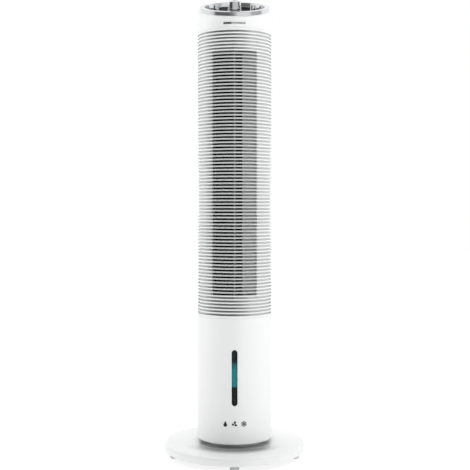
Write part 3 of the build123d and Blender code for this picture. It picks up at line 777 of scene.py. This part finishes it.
def buildLowerShell():
    body = towerWall("lower_shell_moulding", towerLow.z, towerHigh.z, shell["lowEdge"], shell["topEdge"])
    lensLow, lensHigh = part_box("level_lens")
    middle = (0, (lensLow.z + lensHigh.z) / 2)
    slot = stadium(lensHigh.x - lensLow.x, lensHigh.z - lensLow.z, middle)
    doorLow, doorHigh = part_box("tank_door")
    gap, bend, width = (shell[k] * mm for k in ("doorGap", "doorRound", "cordHole"))
    left, right, lowZ, highZ = doorLow.x - gap, doorHigh.x + gap, doorLow.z - gap, doorHigh.z + gap
    bay = rounded([(left, lowZ, bend), (right, lowZ, bend), (right, highZ, bend), (left, highZ, bend)], 6)
    glandLow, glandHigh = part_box("cord_gland")
    hole = stadium(width, width, (0, (glandLow.z + glandHigh.z) / 2), 24)
    carve(
        body,
        prism("cut_window", slot, 0.06, 0.1, facing(-1)),
        prism("cut_door", bay, 0.03, 0.1, facing(1)),
        prism("cut_gland", hole, 0.06, 0.1, facing(1)),
    )
    put(soften(body, shell["edge"]), "lower_shell")


lens = {"sink": 0.5, "edge": 0.5, "gap": 0.08}


def buildLens():
    # The pane follows the shell's round, a little below its face.
    low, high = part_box("level_lens")
    gap = lens["gap"] * mm
    half = (high.x - low.x) / 2 - gap
    middle = (high.z + low.z) / 2
    tall = (high.z - low.z) / 2 - gap
    straight = tall - half
    rows = [-straight - half * math.cos(math.radians(a)) for a in range(6, 91, 7)]
    rows += steps(-straight, straight, 4 * mm)[1:-1]
    rows += [straight + half * math.sin(math.radians(a)) for a in range(0, 85, 7)]
    columns = [i / 6 - 1 for i in range(13)]
    outer, inner = towerR - lens["sink"] * mm, towerR - (shell["wall"] - 0.1) * mm
    points, faces = [], []
    for r in (outer, inner):
        for z in rows:
            over = max(0.0, abs(z) - straight)
            width = math.sqrt(max(half**2 - over**2, 0))
            for c in columns:
                points.append(upright(r, middle + z, c * width / towerR))
    n, m = len(rows), len(columns)
    for i in range(n - 1):
        for j in range(m - 1):
            a = i * m + j
            faces.append((a, a + 1, a + m + 1, a + m))
            b = a + n * m
            faces.append((b, b + m, b + m + 1, b + 1))
    edge = list(range(m)) + [i * m + m - 1 for i in range(1, n)]
    edge += [(n - 1) * m + j for j in range(m - 2, -1, -1)] + [i * m for i in range(n - 2, 0, -1)]
    for a, b in zip(edge, edge[1:] + edge[:1]):
        faces.append((a, b, b + n * m, a + n * m))
    put(soften(addMesh("window_pane", points, faces), lens["edge"], 50), "level_lens")


door = {"edge": 0.5, "gripWidth": 70.0, "gripHeight": 22.0, "gripDrop": 34.0, "gripDepth": 1.5}


def buildDoor():
    low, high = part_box("tank_door")
    halfAngle = math.degrees(math.asin(high.x / towerR))
    panel = towerWall("door_moulding", low.z, high.z, 0.6, 0.6, 180 - halfAngle, 180 + halfAngle)
    middle = (0, high.z - door["gripDrop"] * mm)
    outline = stadium(door["gripWidth"] * mm, door["gripHeight"] * mm, middle, 20)
    floorR = towerR - door["gripDepth"] * mm

    def onShell(x, z, depth):
        return upright(floorR + depth, z, math.pi - x / towerR)

    columns = 30
    bent = []
    for p, q in zip(outline, outline[1:] + outline[:1]):
        pieces = max(1, round((q - p).length / (door["gripWidth"] * mm / columns)))
        bent += [p.lerp(q, i / pieces) for i in range(pieces)]
    size = len(bent)
    centre = sum(bent, Vector((0, 0))) / size
    depths = (0, 10 * mm)
    points = [onShell(p.x, p.y, depth) for depth in depths for p in bent]
    # The cutter's two faces are rings of smaller outlines, so that they follow the shell's round.
    points += [onShell(*centre.lerp(p, share), depth)
               for depth in depths for share in (0.75, 0.5, 0.25) for p in bent]
    points += [onShell(*centre, depth) for depth in depths]
    faces = []
    for k in range(size):
        n = (k + 1) % size
        faces.append((k, n, n + size, k + size))
        for side in (0, 1):
            rings = [side * size] + [2 * size + side * 3 * size + s * size for s in range(3)]
            for a, b in zip(rings, rings[1:]):
                faces.append((a + k, a + n, b + n, b + k))
            faces.append((rings[-1] + k, rings[-1] + n, 8 * size + side))
    carve(panel, addMesh("cut_grip", points, faces))
    put(soften(panel, door["edge"]), "tank_door")


gland = {"bore": 3.6, "tube": 5.9, "proud": 0.4}


def buildGland():
    low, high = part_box("cord_gland")
    z = (low.z + high.z) / 2
    bore, tube, flange = gland["bore"] * mm, gland["tube"] * mm, (high.x - low.x) / 2
    seat = towerR + gland["proud"] * mm
    outline = rounded(
        [
            (bore, low.y, 0.3 * mm),
            (tube, low.y, 0.3 * mm),
            (tube, seat, 0),
            (flange, seat, 0.3 * mm),
            (flange - 0.6 * mm, high.y - 0.8 * mm, 0.8 * mm),
            (bore + 1.4 * mm, high.y, 0.5 * mm),
            (bore, high.y, 0.3 * mm),
        ]
    )
    place = lambda r, y, a: Vector((r * math.sin(a), y, z + r * math.cos(a)))
    put(even(turned("cord_gland_moulding", outline, 8, place=place)), "cord_gland")


buildLowerShell()
buildLens()
buildDoor()
buildGland()
print("lower shell ready")

# Ringed walls: front grille, rear shell and filter panel
ribs = {"grooves": 84, "gap": 4.1, "land": 6.7, "depth": 4.0, "wall": 2.0, "edge": 0.9, "sunk": 0.4,
        "closed": 6}  # grooves with a solid floor above and below the outlet
pitch = (grilleHigh.z - grilleLow.z - (2 * ribs["land"] + ribs["gap"]) * mm) / (ribs["grooves"] - 1)
combR = towerR - ribs["depth"] * mm
innerR = combR - ribs["wall"] * mm
topGroove = grilleHigh.z - (ribs["land"] + ribs["gap"] / 2) * mm
grooveZ = [topGroove - i * pitch for i in range(ribs["grooves"])]


def landsBetween(low, high):
    # The heights of the ribs between low and high, from the bottom up.
    half = ribs["gap"] / 2 * mm
    edges = [low]
    for z in reversed(grooveZ):
        if low + 0.5 * mm < z - half and z + half < high - 0.5 * mm:
            edges += [z - half, z + half]
    edges.append(high)
    return list(zip(edges[::2], edges[1::2]))


def ribMesh(lands, startDeg, endDeg):
    # Rounded ribs with their backs sunk in the wall behind them.
    backR = combR - ribs["sunk"] * mm
    angles = [math.radians(a) for a in steps(startDeg, endDeg, 2.0)]
    bars = []
    for low, high in lands:
        edge = min(ribs["edge"] * mm, (high - low) * 0.45)
        outline = rounded([(backR, low, 0), (towerR, low, edge), (towerR, high, edge), (backR, high, 0)], 3)
        bars.append(around(outline, angles, upright, False))
    return joined(bars)


def wallMesh(anglesDeg, heights, isOpen):
    # The thin wall behind the ribs, left open in some of its cells.
    angles = [math.radians(a) for a in anglesDeg]
    n, m = len(angles), len(heights)
    points = [upright(r, z, a) for r in (combR, innerR) for a in angles for z in heights]
    solid = {
        (i, j)
        for i in range(n - 1)
        for j in range(m - 1)
        if not isOpen((anglesDeg[i] + anglesDeg[i + 1]) / 2, (heights[j] + heights[j + 1]) / 2)
    }
    faces = []
    for i, j in sorted(solid):
        a, b, c, d = i * m + j, (i + 1) * m + j, (i + 1) * m + j + 1, i * m + j + 1
        faces += [(a, b, c, d), tuple(k + n * m for k in (d, c, b, a))]
        besides = (i, j - 1), (i + 1, j), (i, j + 1), (i - 1, j)
        for beside, (p, q) in zip(besides, ((a, b), (b, c), (c, d), (d, a))):
            if beside not in solid:
                faces.append((p, q, q + n * m, p + n * m))
    return points, faces


def angleAt(x):
    return math.degrees(math.asin(x / combR))


def stops(marks, size=2.5):
    # All the marks, in order, with even steps between them.
    marks = sorted(marks)
    found = []
    for a, b in zip(marks, marks[1:]):
        found += steps(a, b, size)[:-1]
    return found + [marks[-1]]


front = {"wrap": 110.0, "outletHalf": 49.7, "centreRib": 3.7, "panelGap": 0.4}


def buildFrontGrille():
    wrap = front["wrap"]
    outer = angleAt(front["outletHalf"] * mm)
    rib = angleAt(front["centreRib"] / 2 * mm)
    half = (pitch - ribs["gap"] * mm) / 4
    top = grooveZ[ribs["closed"]] + ribs["gap"] / 2 * mm + half
    bottom = grooveZ[-1 - ribs["closed"]] - ribs["gap"] / 2 * mm - half

    def isOpen(a, z):
        return rib < abs(a) < outer and bottom < z < top

    heights = [grilleLow.z, bottom, top, grilleHigh.z]
    wall = wallMesh(stops([-wrap, -outer, -rib, rib, outer, wrap]), heights, isOpen)
    bars = ribMesh(landsBetween(grilleLow.z, grilleHigh.z), -wrap, wrap)
    put(even(addMesh("front_grille_moulding", *joined([wall, bars]))), "front_grille")


def buildRearShell():
    wrap = front["wrap"]
    low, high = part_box("filter_panel")
    gap = front["panelGap"] * mm
    side = math.degrees(math.asin((high.x + gap) / towerR))
    bay = (low.z - gap, high.z + gap)

    def isOpen(a, z):
        return abs(a - 180) < side and bay[0] < z < bay[1]

    marks = [wrap, 180 - side, 180 + side, 360 - wrap]
    walls = [wallMesh(stops(marks), [grilleLow.z, *bay, grilleHigh.z], isOpen)]
    beside, across = [], []
    for bottom, top in landsBetween(grilleLow.z, grilleHigh.z):
        if top <= bay[0] or bottom >= bay[1]:
            across.append((bottom, top))
        elif bottom < bay[0]:
            across.append((bottom, bay[0]))
            beside.append((bay[0], top))
        elif top > bay[1]:
            beside.append((bottom, bay[1]))
            across.append((bay[1], top))
        else:
            beside.append((bottom, top))
    left, right = (wrap, 180 - side), (180 + side, 360 - wrap)
    for lands, span in (across, (wrap, 360 - wrap)), (beside, left), (beside, right):
        walls.append(ribMesh(lands, *span))
    put(even(addMesh("rear_shell_moulding", *joined(walls))), "rear_shell")


filterSet = {"margin": 6.0, "bar": 3.0, "low": 14.0, "high": 26.0, "gripHalf": 20.0, "grip": (8.0, 20.0)}


def buildFilterPanel():
    low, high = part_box("filter_panel")
    half = high.x
    side = math.degrees(math.asin(half / towerR))
    edge = half - filterSet["margin"] * mm
    bar = filterSet["bar"] / 2 * mm
    xs = [-edge, -half / 2 - bar, -half / 2 + bar, -bar, bar, half / 2 - bar, half / 2 + bar, edge]
    slots = [(180 + angleAt(xs[i]), 180 + angleAt(xs[i + 1])) for i in range(0, len(xs), 2)]
    slotZ = (low.z + filterSet["low"] * mm, high.z - filterSet["high"] * mm)

    def isOpen(a, z):
        return slotZ[0] < z < slotZ[1] and any(s < a < e for s, e in slots)

    marks = [180 - side, 180 + side] + [a for pair in slots for a in pair]
    walls = [wallMesh(stops(marks), [low.z, *slotZ, high.z], isOpen)]
    grip = math.degrees(math.asin(filterSet["gripHalf"] * mm / towerR))
    gripZ = (high.z - filterSet["grip"][1] * mm, high.z - filterSet["grip"][0] * mm)
    whole, split = [], []
    for bottom, top in landsBetween(low.z, high.z):
        clear = top <= gripZ[0] or bottom >= gripZ[1]
        (whole if clear else split).append((bottom, top))
    for lands, start, end in (whole, -side, side), (split, -side, -grip), (split, grip, side):
        walls.append(ribMesh(lands, 180 + start, 180 + end))
    put(even(addMesh("filter_panel_moulding", *joined(walls))), "filter_panel")


buildFrontGrille()
buildRearShell()
buildFilterPanel()
print("ringed walls ready")

# Top: cap, bezel, panel and knobs
top = {"capEdge": 0.9, "seam": 0.35, "flange": 2.5, "bezelInner": 69.5, "bezelOuter": 81.0,
       "bezelHeight": 9.3, "panelGap": 0.1, "panelThick": 3.0}


def sloped(r, h, angle):
    # A point whose height counts from the slanted rim plane.
    point = upright(r, 0, angle)
    point.z = rimMid + point.y * panelSlope + h
    return point


def buildCap():
    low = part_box("top_cap")[0].z
    inner = towerR - shell["wall"] * mm
    reach, seam, edge, flange = (top[k] * mm for k in ("bezelInner", "seam", "capEdge", "flange"))
    # Heights under -1 m stand for the flat lower edge, and are put back by the place function.
    flat = -2.0
    above = flat + 0.4
    outline = rounded([(inner, flat, 0), (towerR, flat, seam), (towerR, above, 0), (inner, above, 0)], 3)
    lower = [p for p in outline if p.y < flat + 0.01]
    outline = rounded([(inner, 0, 0), (towerR, -0.4, 0), (towerR, 0, edge), (reach, 0, 0.2 * mm),
                       (reach, -flange, 0), (inner, -flange, 0)], 4)
    upper = [p for p in outline if p.y > -0.3 and not (abs(p.x - inner) < 1e-9 and p.y > -flange / 2)]

    def place(r, h, angle):
        if h < -1:
            return upright(r, low + h - flat, angle)
        return sloped(r, h, angle)

    put(even(turned("top_cap_moulding", lower + upper, 1.5, place=place)), "top_cap")


def buildBezel():
    inner, outer, high = (top[k] * mm for k in ("bezelInner", "bezelOuter", "bezelHeight"))
    corners = [(inner, 0, 0.3 * mm), (outer, 0, 0.4 * mm), (outer, high, 1.2 * mm), (inner, high, 0.8 * mm)]
    outline = rounded(corners, 6)
    put(even(turned("bezel_plated", outline, 1.5, place=sloped)), "bezel_ring")


def onPanel(x, y, h):
    # A point of the panel: x across, y up the slope, h out of its face.
    up = Vector((0, panelAxis.z, -panelAxis.y))
    return panelCentre + Vector((x, 0, 0)) + up * y + panelAxis * h


def buildPanel():
    r = (top["bezelInner"] - top["panelGap"]) * mm
    back = -panelSink - top["panelThick"] * mm
    outline = rounded([(0, back, 0), (r, back, 0), (r, -panelSink, 0.4 * mm), (0, -panelSink, 0)])
    put(even(turned("panel_acrylic", outline, 2.0, place=sloped)), "control_panel")


def ring(centreX, radius, width, height, fromDeg, toDeg):
    # A flat printed arc on the panel; angles run clockwise from the slope's top.
    angles = [math.radians(a) for a in steps(fromDeg, toDeg, 4)]
    points = []
    for h in (0, height):
        for a in angles:
            for r in (radius, radius + width):
                points.append(onPanel(centreX + r * math.sin(a), r * math.cos(a), h))
    n = len(angles) * 2
    faces = []
    for i in range(0, n - 2, 2):
        faces.append((i, i + 1, i + 3, i + 2))
        faces.append((i + n, i + n + 2, i + n + 3, i + n + 1))
        faces.append((i, i + 2, i + n + 2, i + n))
        faces.append((i + 1, i + n + 1, i + n + 3, i + 3))
    faces += [(0, n, n + 1, 1), (n - 2, n - 1, 2 * n - 1, 2 * n - 2)]
    return points, faces


# Radii and lengths of the printed ticks; wide is how wide a tick is, in mm where it stands.
marks = {
    "ink": 0.05,
    "speed": {"turns": (0, 45, 90, 135), "radius": 20.5, "long": 3.0, "wide": 1.12, "at": 21.0},
    "speedArc": {"radius": 19.2, "width": 0.5, "turns": (0, 135)},
    "timer": {"turns": range(0, 301, 30), "radius": 10.4, "long": 2.4, "short": 1.4, "wide": 0.7, "at": 12.0},
    "mode": {"turns": (-45, 0, 45), "radius": 10.6, "long": 2.4, "wideDeg": 8.0},
}


def buildMarks():
    ink = marks["ink"] * mm
    ticks = []
    for key in ("speed", "timer", "mode"):
        dial = marks[key]
        x = jointOf[key + "_turn"]["pos_m"][0]
        halfDeg = (dial.get("wideDeg") or math.degrees(dial["wide"] / dial["at"])) / 2
        for i, turn in enumerate(dial["turns"]):
            long = dial["short"] if "short" in dial and i % 2 else dial["long"]
            ticks.append(ring(x, dial["radius"] * mm, long * mm, ink, turn - halfDeg, turn + halfDeg))
        if key == "speed":
            arc = marks["speedArc"]
            ticks.append(ring(x, arc["radius"] * mm, arc["width"] * mm, ink, *arc["turns"]))
    attach(addMesh("dial_marks", *joined(ticks)), "tower", "inner_plastic", paleInk)


knobs = {
    "speed": {"node": "speed_knob", "joint": "speed_turn", "radius": 17.0, "height": 22.5},
    "timer": {"node": "timer_knob", "joint": "timer_turn", "radius": 8.0, "height": 13.5},
    "mode": {"node": "mode_knob", "joint": "mode_turn", "radius": 8.0, "height": 13.5},
    "lift": 0.8,
    "draftDeg": 7.0,
}


def buildKnob(settings):
    r, high, lift = settings["radius"] * mm, settings["height"] * mm, knobs["lift"] * mm
    x = jointOf[settings["joint"]]["pos_m"][0]
    dish = 0.03 * r
    inset = math.tan(math.radians(knobs["draftDeg"]))
    rim = r - high * inset
    outline = rounded(
        [
            (0, 0, 0),
            (r, 0, 0.03 * r),
            (r - 0.1 * r * inset, 0.1 * r, 0.02 * r),
            (r * 0.975 - 0.13 * r * inset, 0.13 * r, 0.01 * r),
            (rim, high, 0.1 * r),
            (rim - 0.16 * r, high, 0.04 * r),
            (rim - 0.2 * r, high - dish, 0.03 * r),
            (0, high - dish * 1.2, 0),
        ]
    )
    place = lambda q, h, a: onPanel(x + q * math.sin(a), q * math.cos(a), lift + h)
    put(even(turned(settings["node"] + "_plated", outline, 3.0, place=place)), settings["node"])
    line = stadium(0.1 * r, 0.42 * r, (0, 0.36 * r), 8)
    spot = lambda u, v, h: onPanel(x + u, v, lift + high - dish * 1.3 + h)
    inlay = prism(settings["node"] + "_pointer", line, 0, dish * 0.9, spot)
    attach(inlay, bodyOf[settings["node"]], "black_panel", darkInk)


buildCap()
buildBezel()
buildPanel()
buildMarks()
for key in ("speed", "timer", "mode"):
    buildKnob(knobs[key])
print("top ready")

# Corrugated cooling pad
pad = {"sheetGap": 4.2, "wave": 9.0, "slantDeg": 35.0, "paper": 0.35, "stepY": 1.1, "stepZ": 1.6}


def buildPad():
    low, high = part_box("cooling_pad")
    count = int((high.x - low.x) / (pad["sheetGap"] * mm))
    gap = (high.x - low.x) / count
    rows = steps(low.z, high.z, pad["stepZ"] * mm)
    columns = steps(low.y, high.y, pad["stepY"] * mm)
    swing = gap / 2 - pad["paper"] * mm
    wave = 2 * math.pi / (pad["wave"] * mm)
    points, faces = [], []
    for i in range(count):
        lean = math.radians(pad["slantDeg"] * (1 if i % 2 else -1))
        start = len(points)
        for z in rows:
            for y in columns:
                phase = wave * (z * math.cos(lean) + y * math.sin(lean))
                points.append((low.x + gap * (i + 0.5) + swing * math.sin(phase), y, z))
        m = len(columns)
        for a in range(len(rows) - 1):
            for b in range(m - 1):
                k = start + a * m + b
                faces.append((k, k + 1, k + m + 1, k + m))
    sheets = addMesh("corrugated_pad", points, faces)
    thicken = sheets.modifiers.new("paper", "SOLIDIFY")
    thicken.thickness = pad["paper"] * mm
    thicken.offset = 0
    put(sheets, "cooling_pad")


buildPad()
print("pad ready")

# Small prints: dashes over the grille, and pictograms for water, air and cold under the window
prints = {
    "dark": {"count": 4, "width": 3.9, "height": 4.2, "gap": 0.6},
    "pale": {"count": 9, "width": 2.6, "height": 3.36, "gap": 1.0},
    "dashZ": 8.6, "dashStart": -25.0,
    "iconZ": 46.5, "iconSize": 13.0, "iconPitch": 21.0,
    "ink": 0.04, "strip": 1.5, "halfWidth": 32.0,
}


def printOn(name, stamps, material, slotName):
    # A thin print on the tower's round front; each stamp is an outline (across, up) and its place.
    bm = bmesh.new()
    for outline, x, z in stamps:
        bm.faces.new([bm.verts.new((x + p.x, z + p.y, 0)) for p in outline])
    bmesh.ops.triangulate(bm, faces=bm.faces)
    # Narrow strips follow the tower's round.
    for x in steps(-prints["halfWidth"] * mm, prints["halfWidth"] * mm, prints["strip"] * mm):
        whole = bm.verts[:] + bm.edges[:] + bm.faces[:]
        bmesh.ops.bisect_plane(bm, geom=whole, plane_co=(x, 0, 0), plane_no=(1, 0, 0))
    for v in bm.verts:
        v.co = upright(towerR + prints["ink"] * mm, v.co.y, v.co.x / towerR)
    mesh = bpy.data.meshes.new(name)
    bm.to_mesh(mesh)
    bm.free()
    piece = addPiece(name, mesh)
    thick = piece.modifiers.new("ink", "SOLIDIFY")
    thick.thickness = prints["ink"] * 1.5 * mm
    thick.offset = -1
    attach(piece, "tower", slotName, material)


def bar(width, height, turnDeg=0.0, out=0.0):
    # A bar with its middle moved out along its own height, then turned about the origin.
    x, y = width / 2, height / 2
    corners = [(-x, -y), (x, -y), (x, y), (-x, y)]
    turn = Matrix.Rotation(math.radians(turnDeg), 2)
    return [turn @ (Vector(c) + Vector((0, out))) for c in corners]


def dropIcon(size):
    # Half a circle below, drawn up to a point.
    r, middle, tip = 0.34 * size, -0.16 * size, 0.5 * size
    angles = [math.pi * (1 + i / 12) for i in range(13)]
    outline = [Vector((r * math.cos(a), r * math.sin(a) + middle)) for a in angles]
    side = [Vector((r * (1 - i / 8) ** 0.8, middle + (tip - middle) * (i / 8) ** 1.15)) for i in range(1, 8)]
    return [outline + side + [Vector((0, tip))] + [Vector((-p.x, p.y)) for p in reversed(side)]]


def fanIcon(size):
    blades = []
    for turn in (0, 120, 240):
        rotate = Matrix.Rotation(math.radians(turn), 2)
        petal = []
        for i in range(16):
            a = 2 * math.pi * i / 16
            petal.append(Vector((size * (0.06 + 0.19 * math.cos(a)), size * (0.27 + 0.23 * math.sin(a)))))
        blades.append([rotate @ p for p in petal])
    return blades


def coldIcon(size):
    arms = [bar(0.13 * size, 0.47 * size, turn, 0.265 * size) for turn in range(0, 360, 60)]
    return arms + [bar(0.36 * size, 0.11 * size, turn, 0.35 * size) for turn in range(0, 360, 60)]


def buildPrints():
    z = grilleHigh.z + prints["dashZ"] * mm
    x = prints["dashStart"] * mm
    for key, ink, slotName in ("dark", darkInk, "dark_frame"), ("pale", paleInk, "inner_plastic"):
        wide, high, gap = (prints[key][k] * mm for k in ("width", "height", "gap"))
        dashes = [(bar(wide, high), x + wide / 2 + i * (wide + gap), z) for i in range(prints[key]["count"])]
        x += prints[key]["count"] * (wide + gap)
        printOn("dash_print_" + key, dashes, ink, slotName)

    z = towerLow.z + prints["iconZ"] * mm
    size, pitchX = prints["iconSize"] * mm, prints["iconPitch"] * mm
    icons = []
    for i, icon in enumerate((dropIcon, fanIcon, coldIcon)):
        icons += [(outline, (i - 1) * pitchX, z) for outline in icon(size)]
    printOn("pictogram_print", icons, darkInk, "dark_frame")


buildPrints()
print("prints ready")
